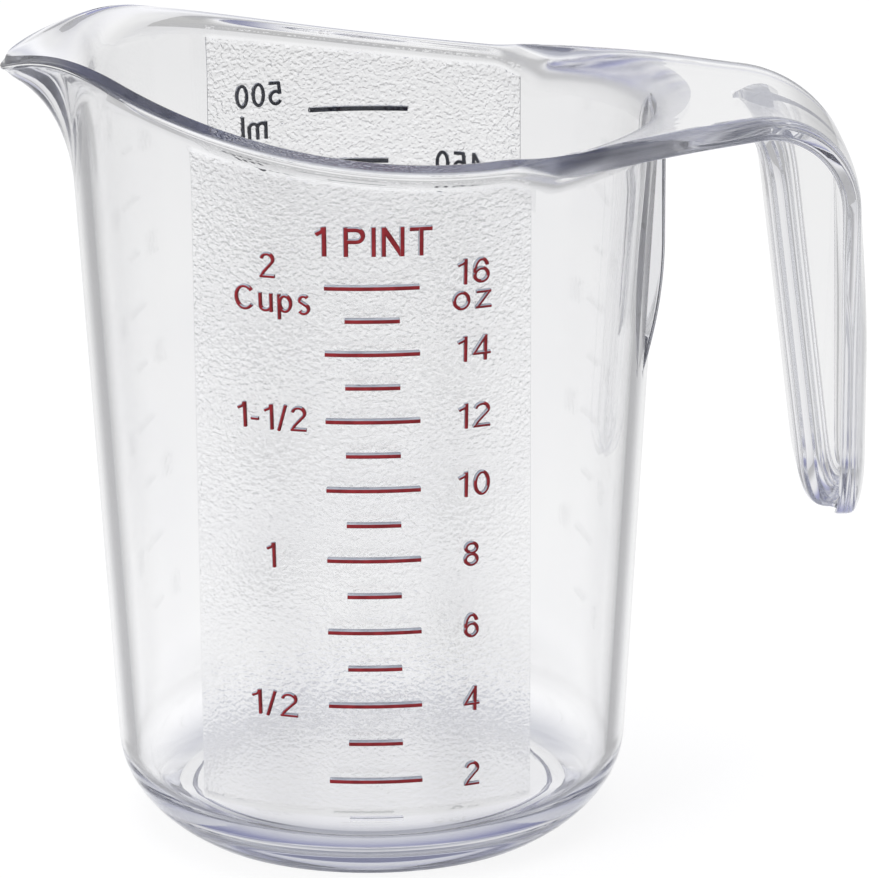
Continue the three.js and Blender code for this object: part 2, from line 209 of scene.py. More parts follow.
# Places of the lettering: X of its middle and level, or X and width as a share of the usual. The rows of
# cup words have name, word, X, level and width
TITLE_PLACE = (1.4, 105.6)
TITLE_WIDE = 1.12
CUP_WORDS = (
    ("cups_2", "2", -14.3, 101.5, 1.1),
    ("cups_word", "Cups", -13.7, 96.2, 1.15),
    ("cups_1_half", "1-1/2", -14.1, 77.6, 1.15),
    ("cups_1", "1", -14.4, 55.4, 1.1),
    ("cups_half", "1/2", -14.3, 31.0, 1.3),
)
OUNCE_ONE_DIGIT = (15.7, 1.15)
OUNCE_TWO_DIGITS = (16.1, 1.3)
OUNCE_WORD_PLACE = (15.9, 96.3)
OUNCE_WORD_WIDE = 1.3
TOP_OUNCE = 16
TOP_OUNCE_LIFT = 1.8
TOP_VOLUME = 500
TOP_VOLUME_LIFT = 3.2
HUNDREDS_X = -18.8
FIFTIES_X = 15.0
VOLUME_WIDE = 1.12
VOLUME_WORD_X = -19.5
VOLUME_WORD_DROP = 2.2

# Clear plastic and its grain, in metres
PLASTIC_IOR = 1.58
PLASTIC_TINT = (0.05, 0.09, 0.27)
PLASTIC_DENSITY = 5.0
PANEL_ROUGHNESS = 0.2
ROUNDING_ROUGHNESS = 0.22
GRAIN_SCALE = 1750
GRAIN_STRETCH = (0.9, 0.9, 1.0)
GRAIN_DISTORTION = 0.5
GRAIN_DEPTH = 0.0002
GRAIN_FADE = (0.015, 0.1)
GRAIN_LEAST = 0.3

# Mottled finishes: scale, lighter and darker colour, least and greatest roughness
SMEARS = (60, (1.0, 1.0, 1.0), (0.985, 0.985, 0.99), 0.0, 0.03)
RED_INK = (700, (0.28, 0.008, 0.014), (0.19, 0.006, 0.01), 0.35, 0.55)
NAVY_INK = (700, (0.012, 0.018, 0.045), (0.006, 0.01, 0.028), 0.35, 0.55)
# Grey of the stroke faces that take no ink: a painted reflection that stands in for bare clear plastic
SIDE_SHEEN_TONES = (400, (0.36, 0.38, 0.42), (0.24, 0.26, 0.3), 0.15, 0.3)
MOTTLE_DETAIL = 4
MOTTLE_RANGE = (0.35, 0.65)

# Camera in the part's frame, and the size of the image in pixels
CAMERA_PLACE = (-0.00028, -0.7532, 0.2906)
CAMERA_PITCH = 15.77
CAMERA_ROLL = -0.263
FOCAL_PIXELS = 4948.8
AXIS_ROW = 337.1
IMAGE_WIDTH = 871
IMAGE_HEIGHT = 878
SENSOR_WIDTH = 36
CLIP_RANGE = (0.01, 10)

# Room round the cup: its colour or grey at each height, given as the upward share of a direction
ROOM_COLOURS = (
    (0.0, 0.5),
    (0.2, 0.95),
    (0.3, 0.95),
    (0.6, (0.38, 0.39, 0.6)),
    (0.78, (0.3, 0.31, 0.44)),
    (0.93, 1.0),
)

# Light of the floor as the plastic shows it: its colour by the upward share of the direction that it
# is seen from, and its share by the sideways part of that direction
FLOOR_COLOURS = (
    (0.0, 0.6),
    (0.1, 0.7),
    (0.27, (0.81, 0.81, 0.8)),
    (0.42, 1.0),
    (0.6, (0.68, 0.69, 0.72)),
    (0.8, (0.36, 0.37, 0.43)),
)
FLANK_SHARES = ((0.0, 1.0), (0.3, 1.0), (0.48, 0.42), (0.6, 0.42), (0.8, 1.0))

# Floor in metres, the share of its light that is its own, and its paper
FLOOR_RADII = (0.02, 0.9)
FLOOR_RINGS = 24
FLOOR_SIDES = 96
FLOOR_Z = -0.0002
FLOOR_GLOW = 0.88
WHITE = (1, 1, 1, 1)
PAPER = (0.9, 0.9, 0.9, 1)

# Lamps: name, place, point that it faces, width and length, and watts
LAMPS = (
    ("overhead_lamp", (0, 0.1, 0.9), (0, 0, 0.05), (0.9, 0.9), 9),
    ("side_lamp", (-0.6, -0.7, 0.6), (0, 0, 0.06), (0.5, 0.7), 8),
)
BOUNCES = 128

MM = 0.001


def mix(a, b, t):
    """Straight blend from a at t = 0 to b at t = 1."""
    return a + (b - a) * t


def smooth(x, low, high):
    """0 below low, 1 above high, and 3 t squared less 2 t cubed between them."""
    t = np.clip((x - low) / (high - low), 0, 1)
    return t * t * (3 - 2 * t)


def quadratic(a, b, c, t):
    """Quadratic curve from a to c that heads for b at both ends."""
    return (1 - t) ** 2 * a + 2 * (1 - t) * t * b + t * t * c


def unit(vectors):
    """Rows divided by their lengths."""
    return vectors / np.linalg.norm(vectors, axis=1)[:, None]


def mark_level(name):
    """Height of a CAD volume mark's middle, in millimetres."""
    low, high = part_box(name)
    return (low.z + high.z) / 2 / MM


def outer_radius(z):
    """The wall's outer radius grows with height by its taper."""
    return WALL_RADIUS + WALL_TAPER * z


middle_low, middle_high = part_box("ounce_mark_02")
axis_x = (middle_low.x + middle_high.x) / 2 / MM - OUNCE_OFFSET
fillet_top = FLOOR_LEVEL + FLOOR_FILLET
fillet_centre = outer_radius(fillet_top) - WALL_THICKNESS - FLOOR_FILLET
rim_low = mark_level("metric_mark_500") + HEADROOM
rim_radius = outer_radius(rim_low)
lip_radius = rim_radius + RIM_OVERHANG
plate_level = rim_low + HANDLE_RISE
plate_end = rim_radius + PLATE_REACH
spout_tip = lip_radius + SPOUT_REACH
strap_x = rim_radius + STRAP_OFFSET
tip_level = plate_level - STRAP_DROP
gap_top = plate_level - HANDLE_PLATE
grip_top = strap_x - GRIP_DEPTH_TOP
grip_low = strap_x - GRIP_DEPTH_LOW
wall_seat = SEAM * WALL_THICKNESS
plate_seat = SEAM * STRAP_THICKNESS
quarter = np.linspace(0, math.pi / 2, EDGE_STEPS)


def new_object(name, data):
    """Object at the origin that holds a mesh, a lamp or a camera."""
    made = bpy.data.objects.new(name, data)
    bpy.context.scene.collection.objects.link(made)
    return made


def new_piece(name, points, faces, materials):
    """Object whose mesh holds points in millimetres round the cup's axis, moved to the part's frame in
    metres."""
    mesh = bpy.data.meshes.new(name)
    placed = (np.asarray(points, float) + (axis_x, 0, 0)) * MM
    mesh.from_pydata(placed, [], faces)
    for material in materials:
        mesh.materials.append(material)
    mesh.polygons.foreach_set("use_smooth", np.ones(len(mesh.polygons), bool))
    mesh.update()
    return new_object(name, mesh)


def tube_faces(stations, around, closed=False):
    """Quads of a tube of stations x around points, numbered station by station. A closed one meets its own
    start."""
    s, a = np.meshgrid(np.arange(stations if closed else stations - 1), np.arange(around), indexing="ij")
    n = (s + 1) % stations
    b = (a + 1) % around
    return np.stack((s * around + a, n * around + a, n * around + b, s * around + b), -1).reshape(-1, 4)


def cap_faces(stations, around):
    """Faces over the two ends of a tube."""
    start = np.arange(around)
    return np.stack((start, stations * around - 1 - start))


# Rim outline


def rim_height(x):
    """Height of the rim's top: a parabola that rises to the spout less a parabola for its drooping tip, and
    a smooth step up to the handle's plate."""
    droop = np.maximum(0, SPOUT_DROOP_SPAN - spout_tip - x)
    spout_side = rim_low + RIM_RISE * (x - RIM_LOW_X) ** 2 - SPOUT_DROOP * droop**2
    handle_side = rim_low + HANDLE_RISE * smooth(x, RIM_LOW_X, plate_end)
    return np.where(x > RIM_LOW_X, handle_side, spout_side)


def spout_share(degrees):
    """Bell 1 / (1 + (angle / width) squared) round the spout, shifted to reach 0 across the cup."""
    across = 1 / (1 + (90 / SPOUT_ANGLE) ** 2)
    bell = 1 / (1 + (degrees / SPOUT_ANGLE) ** 2)
    return np.maximum(0, (bell - across) / (1 - across))


def panel_edges(back):
    """X of the left and right edges of the panel on that side."""
    return np.where(np.asarray(back)[..., None], PANEL_BACK, PANEL_FRONT).T


def panel_angles(z, back):
    """Angles from +X, in degrees, at which the wall of that height crosses the panel's right and left
    edges."""
    left, right = panel_edges(back)
    radius = outer_radius(z)
    return np.degrees(np.arccos(right / radius)), np.degrees(np.arccos(left / radius))


panel_top = rim_low - RIM_EDGE - RIM_FLARE
panel_bevel = math.degrees(PANEL_BEVEL / outer_radius(panel_top))


def half_rim_angles(back):
    """Wall angles of one side from the spout's middle, 180 degrees, to the strap's root, with columns on
    both sides of each panel edge."""
    right, left = panel_angles(panel_top, back)
    spout_side, panel, tangent, root = RIM_COLUMNS
    spans = (
        np.linspace(180, left, spout_side),
        np.linspace(left - panel_bevel, PLATE_TANGENT, panel)[:-1],
        np.linspace(PLATE_TANGENT, right + panel_bevel, tangent),
        np.linspace(right, PLATE_ROOT_ANGLE, root)[:-1],
    )
    return np.hstack(spans)


def rim_outline(degrees):
    """Outline point for each wall angle: the lip's circle with the spout's bulge, and from the tangent
    angle on a quadratic curve along the plate's edge to the strap's root."""
    share = spout_share(180 - degrees)
    radius = lip_radius + SPOUT_REACH * share
    turn = np.radians(degrees)
    tangent = math.radians(PLATE_TANGENT)
    leave_x = lip_radius * math.cos(tangent)
    leave_y = lip_radius * math.sin(tangent)
    circle_slope = leave_x / leave_y
    fall = leave_y + circle_slope * leave_x - PLATE_HALF_WIDTH - PLATE_SLOPE * plate_end
    corner_x = fall / (circle_slope - PLATE_SLOPE)
    corner_y = PLATE_HALF_WIDTH + PLATE_SLOPE * (plate_end - corner_x)
    along = np.clip((PLATE_TANGENT - degrees) / (PLATE_TANGENT - PLATE_ROOT_ANGLE), 0, 1)
    on_plate = degrees < PLATE_TANGENT
    x = np.where(on_plate, quadratic(leave_x, corner_x, plate_end, along), radius * np.cos(turn))
    y = np.where(on_plate, quadratic(leave_y, corner_y, PLATE_HALF_WIDTH, along), radius * np.sin(turn))
    return x, y, share


# Moulding


def moulding_columns():
    """Columns once round the cup from the spout: near side, strap root, far side. Returns each column's
    angle, outline point and spout share, and the first and last columns of the strap's root."""
    near = half_rim_angles(False)
    far = half_rim_angles(True)[:0:-1]
    near_x, near_y, near_share = rim_outline(near)
    far_x, far_y, far_share = rim_outline(far)
    side = np.linspace(-1, 1, STRAP_ACROSS)
    angle = np.hstack((-near, side * PLATE_ROOT_ANGLE, far))
    outline_x = np.hstack((near_x, np.full(STRAP_ACROSS, plate_end), far_x))
    outline_y = np.hstack((-near_y, side * PLATE_HALF_WIDTH, far_y))
    shares = np.hstack((near_share, np.zeros(STRAP_ACROSS), far_share))
    first = len(near)
    return angle, outline_x, outline_y, shares, first, first + STRAP_ACROSS - 1


def ring_rows(radius, height, angle):
    """Rows of plain rings: one row for each radius, at its height and the columns' angles in degrees."""
    turn = np.radians(angle)[None, :]
    x = radius[:, None] * np.cos(turn)
    y = radius[:, None] * np.sin(turn)
    return np.stack((x, y, np.broadcast_to(np.reshape(height, (-1, 1)), x.shape)), -1)


def panel_columns(angle, z):
    """Columns' angles at a height, slid along the wall in straight shares so that the same columns keep to
    the panel's upright edges all the way down."""
    right_top, left_top = panel_angles(panel_top, angle > 0)
    right, left = panel_angles(np.clip(z, CORNER_HEIGHT, panel_top), angle > 0)
    a = np.abs(angle)
    root = PLATE_ROOT_ANGLE
    before = root + (a - root) * (right - root) / (right_top - root)
    within = right + (a - right_top) * (left - right) / (left_top - right_top)
    beyond = 180 - (180 - a) * (180 - left) / (180 - left_top)
    slid = np.select((a < root, a < right_top, a < left_top), (a, before, within), beyond)
    return np.sign(angle) * slid


def moulding_grid():
    """Skin of the vessel, rim and plate as rows up the inside, over the rim and down the outside. A flare
    is a quadratic curve from the wall out to the lip, the rim's top falls straight to its edge, and edges
    are quarter rounds. Returns the points, and the columns and rows that bound the strap's root."""
    angle, x, y, share, first, last = moulding_columns()
    turn = np.radians(angle)
    radial = np.stack((np.cos(turn), np.sin(turn)), -1)
    out = np.stack((x, y), -1) - radial * rim_radius
    reach = np.linalg.norm(out, axis=1)
    out = out / reach[:, None]
    plate = np.where(share > 0, 0, smooth(reach, RIM_OVERHANG, RIM_OVERHANG + HANDLE_FILLET))
    top = rim_height(x)
    bottom = top - mix(RIM_EDGE, HANDLE_PLATE, plate)
    inner_root = np.zeros(len(angle), bool)
    inner_root[first + 1 : last] = True

    def at(distance, z, wall):
        """Points at a distance out from a wall radius, along the wall's radius inside it and turning
        towards the outline outside it."""
        heading = mix(radial, out, smooth(distance, 0, np.minimum(reach, PLATE_TURN))[:, None])
        place = radial * wall[:, None] + heading * distance[:, None]
        return np.column_stack((place, z))

    def level_at(distance):
        """Rim height at that distance, followed where the plate or the spout makes the top wide."""
        place_x = at(distance, top, rim_wall)[:, 0]
        return mix(top, rim_height(place_x), np.minimum(1, plate + share))

    def add_row(distance, z, wall):
        """Adds a row of points at a distance out from a wall radius."""
        blocks.append(at(distance, z, wall)[None])

    rim_wall = np.full(len(angle), rim_radius)
    blocks = []
    floor_radius = np.linspace(POLE_RADIUS, fillet_centre, FLOOR_ROWS)
    blocks.append(ring_rows(floor_radius, FLOOR_LEVEL, angle))
    bend = np.linspace(0, math.pi / 2, FILLET_ROWS)[1:]
    fillet_radius = fillet_centre + FLOOR_FILLET * np.sin(bend)
    blocks.append(ring_rows(fillet_radius, fillet_top - FLOOR_FILLET * np.cos(bend), angle))

    round_in = mix(RIM_ROUND, HANDLE_ROUND, plate)
    inner_start = np.full(len(angle), -WALL_THICKNESS)
    lip = mix(RIM_OVERHANG + WALL_THICKNESS - RIM_ROUND, SPOUT_LIP, share)
    inner_end = np.where(share > 0, reach - lip, inner_start + round_in)
    inner_height = mix(round_in, SPOUT_FLARE + RIM_EDGE, share)
    inner_control = mix(0, SPOUT_FLARE / INNER_HOLD, share)
    flare_start = level_at(inner_start) - inner_height
    for t in np.linspace(0, 1, WALL_ROWS)[1:-1]:
        z = mix(fillet_top, flare_start, t)
        add_row(inner_start, z, outer_radius(z))
    for t in np.linspace(0, 1, FLARE_ROWS):
        distance = quadratic(inner_start, inner_start, inner_end, t)
        level = level_at(distance)
        z = quadratic(level - inner_height, level - inner_control, level, t)
        add_row(distance, z, outer_radius(z))

    edge = np.where(inner_root, 0, mix(EDGE_ROUND, PLATE_EDGE_ROUND, plate))
    slope = RIM_SLOPE * (1 - plate)
    wall_there = outer_radius(level_at(inner_end))
    for t in np.linspace(0, 1, TOP_ROWS)[1:-1]:
        distance = mix(inner_end, reach - edge, t)
        add_row(distance, level_at(distance) - slope * t, mix(wall_there, rim_wall, t))
    upper = sum(len(block) for block in blocks)
    for turned in quarter:
        fall = slope + edge * (1 - math.cos(turned))
        add_row(reach - edge + edge * math.sin(turned), top - fall, rim_wall)

    flare = mix(mix(RIM_FLARE, HANDLE_FILLET, plate), SPOUT_FLARE, share)
    flare_end = np.minimum(FLARE_SHARE * reach, mix(HANDLE_FILLET, reach, share))
    flare_top = bottom - (reach - flare_end) * LIP_FALL * share
    flare_control = mix(0, flare / OUTER_HOLD, share)
    under = np.where(inner_root, 0, np.minimum(edge, UNDER_SHARE * (reach - flare_end)))
    for turned in quarter[::-1]:
        rise = under * (1 - math.cos(turned))
        add_row(reach - under + under * math.sin(turned), bottom + rise, rim_wall)
    lower = sum(len(block) for block in blocks) - 1
    for t in np.linspace(0, 1, UNDER_ROWS)[1:-1]:
        add_row(mix(reach - under, flare_end, t), mix(bottom, flare_top, t), rim_wall)
    for t in np.linspace(1, 0, FLARE_ROWS):
        z = quadratic(bottom - flare, bottom - flare_control, flare_top, t)
        distance = quadratic(np.zeros(len(angle)), 0, flare_end, t)
        add_row(distance, z, mix(outer_radius(z), rim_wall, t * t))

    nearest, near = PANEL_ENDS
    steps = np.hstack((nearest, np.linspace(near, 1 - near, PANEL_ROWS), 1 - nearest, 1))
    right_top, left_top = panel_angles(panel_top, angle > 0)
    inside = (np.abs(angle) < left_top - panel_bevel / 2) & (np.abs(angle) > right_top + panel_bevel / 2)
    for t in steps:
        z = mix(bottom - flare, CORNER_HEIGHT, t)
        there = np.radians(panel_columns(angle, z))
        wall = outer_radius(z) + PANEL_STEP * inside * (t < 1)
        blocks.append(np.stack((wall * np.cos(there), wall * np.sin(there), z), -1)[None])

    low_angle = panel_columns(angle, np.full(len(angle), CORNER_HEIGHT))
    t = np.linspace(0, 1, CORNER_ROWS)[1:]
    corner = quadratic(outer_radius(CORNER_HEIGHT), outer_radius(CORNER_CONTROL), FOOT_RADIUS, t)
    blocks.append(ring_rows(corner, quadratic(CORNER_HEIGHT, CORNER_CONTROL, 0, t), low_angle))
    inwards = np.array((FOOT_EDGE, FOOT_WIDTH - FOOT_EDGE, FOOT_WIDTH, FOOT_WIDTH + FOOT_DEPTH / 2))
    foot = FOOT_RADIUS - inwards
    blocks.append(ring_rows(foot, np.array((0, 0, FOOT_LIFT, FOOT_DEPTH)), low_angle))
    recess = np.linspace(foot[-1] - FOOT_EDGE, POLE_RADIUS, RECESS_ROWS)
    blocks.append(ring_rows(recess, FOOT_DEPTH, low_angle))

    return np.concatenate(blocks), (first, last), (upper, lower)


def strap_path(length):
    """Point and outward normal in the XZ plane at a length along the strap: out along the plate, round the
    bend and down."""
    turn = np.clip((length - strap_straight) / STRAP_BEND, 0, math.pi / 2)
    before = np.minimum(length, strap_straight)
    after = np.maximum(0, length - bend_end)
    x = plate_end + before + STRAP_BEND * np.sin(turn)
    z = plate_level - STRAP_BEND * (1 - np.cos(turn)) - after
    return np.stack((x, z), -1), np.stack((np.sin(turn), np.cos(turn)), -1)


strap_straight = strap_x - STRAP_BEND - plate_end
bend_end = strap_straight + STRAP_BEND * math.pi / 2
strap_length = bend_end + plate_level - STRAP_BEND - tip_level
tip_start = strap_length - STRAP_TIP


def strap_frame(length):
    """Half width, bulge and thickness along the strap: it narrows from the plate in a parabola, thins and
    bulges in smooth steps, and rounds off in an ellipse at its tip."""
    narrowing = np.maximum(0, 1 - length / STRAP_TAPER) ** 2
    into_tip = np.maximum(0, (length - tip_start) / STRAP_TIP)
    tip_share = np.sqrt(1 - into_tip**2 * (1 - TIP_SHARE**2))
    half = mix(STRAP_HALF_WIDTH, PLATE_HALF_WIDTH, narrowing) * tip_share
    crown = STRAP_CROWN * smooth(length, CROWN_START, CROWN_START + CROWN_RUN) * tip_share
    return half, crown, mix(HANDLE_PLATE, STRAP_THICKNESS, smooth(length, 0, STRAP_TAPER))


def strap_sections():
    """Strap's sections: a rounded band whose outer face bulges in a parabola. Points run across the top,
    round one edge, back under and round the other."""
    straight, bend, drop, tip = STRAP_ROWS
    length = np.hstack((
        np.linspace(0, strap_straight, straight)[1:],
        np.linspace(strap_straight, bend_end, bend)[1:],
        np.linspace(bend_end, tip_start, drop)[1:],
        tip_start + STRAP_TIP * np.sin(np.linspace(0, math.pi / 2, tip)[1:]),
    ))
    place, outward = strap_path(length)
    half, crown, thick = (values[:, None] for values in strap_frame(length))
    edge = mix(PLATE_EDGE_ROUND, STRAP_EDGE_ROUND, smooth(length, 0, STRAP_TAPER))[:, None]
    across = np.linspace(-1, 1, STRAP_ACROSS)[None, :] * (half - edge)
    turned = quarter[None, :]
    swing = np.hstack((np.sin(turned), np.cos(turned)))
    fall = np.hstack((edge * (1 - np.cos(turned)), thick - edge * (1 - np.sin(turned))))
    round_edge = half - edge + edge * swing
    width = np.hstack((across, round_edge[:, 1:-1], across[:, ::-1], -round_edge[:, -2:0:-1]))
    flat = np.zeros_like(across)
    depth = np.hstack((flat, fall[:, 1:-1], flat + thick, fall[:, -2:0:-1]))
    lift = crown * (1 - (width / half) ** 2) - depth
    x = place[:, :1] + outward[:, :1] * lift
    z = place[:, 1:] + outward[:, 1:] * lift
    return np.stack((x, width, z), -1)


def moulding_mesh():
    """The grid's quads, less the strap's root, with fans at both poles and the strap's tube on the root."""
    grid, (first, last), (upper, lower) = moulding_grid()
    rows, columns, _ = grid.shape
    skin = np.ones((rows - 1, columns), bool)
    skin[upper:lower, first:last] = False
    kept = tube_faces(rows, columns)[skin.ravel()]

    points = grid.reshape(-1, 3)
    sections = strap_sections()
    stations, around, _ = sections.shape
    across = np.arange(first, last + 1)
    edge_rows = np.arange(upper + 1, lower)
    start_loop = np.hstack((
        upper * columns + across,
        edge_rows * columns + last,
        lower * columns + across[::-1],
        edge_rows[::-1] * columns + first,
    ))
    strap_start = len(points)
    ring = strap_start + np.arange(stations * around).reshape(stations, around)
    loops = np.vstack((start_loop, ring))
    nxt = np.roll(loops, -1, axis=1)
    strap = np.stack((loops[:-1], loops[1:], nxt[1:], nxt[:-1]), -1).reshape(-1, 4)

    floor_pole = strap_start + stations * around
    foot_pole = floor_pole + 1
    points = np.vstack((points, sections.reshape(-1, 3), [(0, 0, FLOOR_LEVEL), (0, 0, FOOT_DEPTH)]))
    c = np.arange(columns)
    d = (c + 1) % columns
    bottom_row = (rows - 1) * columns
    floor_fan = np.stack((np.full(columns, floor_pole), c, d), -1)
    foot_fan = np.stack((np.full(columns, foot_pole), bottom_row + d, bottom_row + c), -1)
    tip = ring[-1:, ::-1]
    parts = (kept, strap, floor_fan, foot_fan, tip)

    used = np.unique(np.hstack([part.ravel() for part in parts]))
    renumber = np.full(len(points), -1)
    renumber[used] = np.arange(len(used))
    return points[used], [face for part in parts for face in renumber[part].tolist()]


# Web, flange and pad


def gap_edge():
    """Points and inward normals along the finger gap's edge in the XZ plane: a quadratic corner under the
    plate, straight down the grip, and a quadratic round to the strap's tip."""
    low_level = tip_level + GRIP_TIP
    lean = (grip_low - grip_top) / (gap_top - GAP_ROUND - low_level)
    start_level = gap_top + GAP_SEAT
    start = np.array((grip_top - GAP_REACH, start_level))
    corner = np.array((grip_top - lean * GAP_ROUND, start_level))
    corner_out = np.array((grip_top, gap_top - GAP_ROUND))
    low = np.array((grip_low, low_level))
    tip_corner = np.array((grip_low + lean * GRIP_TIP, tip_level + GAP_SEAT))
    tip = np.array((strap_x + STRAP_CROWN * TIP_SHARE - STRAP_THICKNESS / 2, tip_level + GAP_SEAT))
    corner_rows, straight_rows, tip_rows = GAP_ROWS
    points = np.vstack((
        quadratic(start, corner, corner_out, np.linspace(0, 1, corner_rows)[:, None]),
        mix(corner_out, low, np.linspace(0, 1, straight_rows)[:, None])[1:],
        quadratic(low, tip_corner, tip, np.linspace(0, GRIP_END, tip_rows)[:, None])[1:],
    ))
    along = unit(np.gradient(points, axis=0))
    return points, np.stack((-along[:, 1], along[:, 0]), -1)


def depth_to_strap(points, normals):
    """Distance from the gap's edge along its normals to the middle of the plate and strap, by crossing each
    normal with each short run of the strap's middle line. Near the tip, the distance is level instead."""
    tiny = 1e-9
    length = np.linspace(-GAP_ROUND, strap_length, MIDDLE_ROWS)
    place, outward = strap_path(length)
    _, crown, thick = strap_frame(length)
    middle = place + outward * (crown - thick / 2)[:, None]
    run = np.diff(middle, axis=0)[None]
    to_run = middle[None, :-1] - points[:, None]
    normal = normals[:, None]
    turn = normal[..., 0] * run[..., 1] - normal[..., 1] * run[..., 0]
    turn = np.where(np.abs(turn) < tiny, tiny, turn)
    distance = (to_run[..., 0] * run[..., 1] - to_run[..., 1] * run[..., 0]) / turn
    share = (to_run[..., 0] * normal[..., 1] - to_run[..., 1] * normal[..., 0]) / turn
    crossed = (share >= 0) & (share <= 1) & (distance > 0)
    nearest = np.where(crossed, distance, np.inf).min(1)
    level = (middle[-1, 0] - points[:, 0]) / np.maximum(normals[:, 0], LEAST_LEVEL)
    return np.where(points[:, 1] < tip_level + GRIP_TIP, np.minimum(nearest, level), nearest)


def grip_mesh():
    """Flange with full round edges on a thin web, carried along the finger gap's edge. It widens in a
    parabola towards the plate, where it starts in a rounded nose. Its thickness fades out in the plate and
    at the tip, where both narrow in an ellipse."""
    points, normals = gap_edge()
    deep = depth_to_strap(points, normals)[:, None]
    tip = np.clip((tip_level + STRAP_TIP - points[:, 1:]) / STRAP_TIP, 0, TIP_LIMIT)
    narrow = np.sqrt(1 - tip**2)
    risen = np.clip((points[:, 1:] - gap_top + GAP_ROUND) / GAP_ROUND, 0, 1)
    nose = np.sqrt(1 - smooth(risen, 1 - FLANGE_NOSE, 1) ** 2 * (1 - NOSE_SHARE**2))
    half = (FLANGE_HALF * narrow + FLANGE_FLARE * risen**2) * nose
    web = WEB_HALF * narrow
    grown = np.minimum(1, deep / FLANGE_GROWTH)
    thick = FLANGE_THICKNESS * grown
    fillet = WEB_FILLET * grown
    edge = np.minimum(thick / 2, half)

    turned = np.linspace(0, math.pi, FLANGE_STEPS)[None, :]
    depth = thick / 2 * (1 - np.cos(turned))
    width = half - edge + edge * np.sin(turned)
    width = np.where(turned > math.pi / 2, np.maximum(width, web), width)
    swing = quarter[None, :]
    fillet_depth = thick + fillet * (1 - np.cos(swing)) + np.where(swing == 0, WEB_STEP, 0)
    fillet_width = web + fillet * (1 - np.sin(swing))
    depth = np.hstack((depth, fillet_depth, np.maximum(deep, thick + fillet + WEB_OVERLAP)))
    width = np.hstack((width, fillet_width, web))
    depth = np.hstack((depth, depth[:, ::-1]))
    width = np.hstack((width, -width[:, ::-1]))
    place = points[:, None, :] + normals[:, None, :] * depth[:, :, None]
    return np.stack((place[..., 0], width, place[..., 1]), -1)


def pad_mesh():
    """Pad's plan, a rectangle with rounded front edges, carried up the wall: its face curves out in a
    quadratic and then stands upright."""
    curve_rows, upright_rows = PAD_ROWS
    face = rim_radius - PAD_INSET
    straight_end = gap_top - PAD_STRAIGHT
    low = straight_end - PAD_CURVE
    t = np.linspace(0, 1, curve_rows)
    curve_x = quadratic(face - PAD_LEAN, face, face, t)
    curve_z = quadratic(low, (low + straight_end) / 2, straight_end, t)
    upright = np.linspace(straight_end, plate_level - plate_seat, upright_rows)[1:]
    front = np.hstack((curve_x, np.full(len(upright), face)))
    z = np.hstack((curve_z, upright))
    back = outer_radius(z) - wall_seat
    edge = np.minimum(PAD_EDGE, PAD_EDGE_SHARE * np.maximum(front - back, PAD_LEAST))
    turned = quarter[None, :]
    round_x = (front - edge)[:, None] + edge[:, None] * np.sin(turned)
    round_y = PAD_HALF - edge[:, None] * (1 - np.cos(turned))
    safe_back = np.minimum(back, front - PAD_ROOT * edge)[:, None]
    side = np.full_like(safe_back, PAD_HALF)
    x = np.hstack((safe_back, round_x, round_x[:, ::-1], safe_back))
    y = np.hstack((side, round_y, -round_y[:, ::-1], -side))
    return np.stack((x, y, np.broadcast_to(z[:, None], x.shape)), -1)


def loft_piece(name, sections, material, reverse):
    """Closed tube through sections of the same number of points, with its ends capped. Where the sections
    run the other way round, its faces are turned to look out."""
    stations, around, _ = sections.shape
    faces = tube_faces(stations, around).tolist() + cap_faces(stations, around).tolist()
    piece = new_piece(name, sections.reshape(-1, 3), faces, [material])
    if reverse:
        piece.data.flip_normals()
    return piece


def face_vectors(mesh, name):
    """A vector of every face, its middle or its normal, as rows."""
    values = np.empty(len(mesh.polygons) * 3)
    mesh.polygons.foreach_get(name, values)
    return values.reshape(-1, 3)


def mark_finishes(piece):
    """Face attributes of the moulding. One is 1 on the raised panels: faces that stand proud of the tapered
    wall between the panels' upright edges. The other is the roughness of the panels and, growing towards
    the handle, of the plate's inner rounding: faces high up that look up and to the axis."""
    mesh = piece.data
    x, y, z = face_vectors(mesh, "center").T / MM
    x = x - axis_x
    normal_x, normal_y, normal_z = face_vectors(mesh, "normal").T
    radius = np.hypot(x, y)
    inward = -(normal_x * x + normal_y * y) / radius
    high = z > plate_level - HANDLE_ROUND - RIM_EDGE
    rounding = (inward > ROUNDING_INWARD) & (normal_z > ROUNDING_UPWARD) & high
    proud = radius - outer_radius(z)
    least, most = PANEL_PROUD
    left, right = panel_edges(y > 0)
    panel = (proud > least) & (proud < most) & (x > left) & (x < right) & (z > CORNER_HEIGHT)
    growing = smooth(x, RIM_LOW_X - ROUNDING_RUN, RIM_LOW_X)
    satin = np.where(panel, PANEL_ROUGHNESS, rounding * ROUNDING_ROUGHNESS * growing)
    for name, values in (("panel", panel.astype(float)), ("satin", satin)):
        mesh.attributes.new(name, "FLOAT", "FACE").data.foreach_set("value", values)


def join_into(piece, other):
    """Joins another closed piece into this one as one solid and removes the other."""
    joined = piece.modifiers.new("join", "BOOLEAN")
    joined.operation = "UNION"
    joined.solver = "MANIFOLD"
    joined.object = other
    graph = bpy.context.evaluated_depsgraph_get()
    mesh = bpy.data.meshes.new_from_object(piece.evaluated_get(graph))
    piece.modifiers.clear()
    old = piece.data
    name = old.name
    piece.data = mesh
    bpy.data.meshes.remove(old)
    mesh.name = name
    bpy.data.objects.remove(other, do_unlink=True)


# Strokes of the lettering, on a grid where a capital is 1 high


def arc(x, y, wide, high, start, end, count):
    """Points of an ellipse's arc from one angle to another, in degrees."""
    turn = np.radians(np.linspace(start, end, count))
    return np.stack((x + wide * np.cos(turn), y + high * np.sin(turn)), -1)


def oval(x, y, wide, high, count):
    """A whole ellipse from its top."""
    return arc(x, y, wide, high, 90, 450, count)


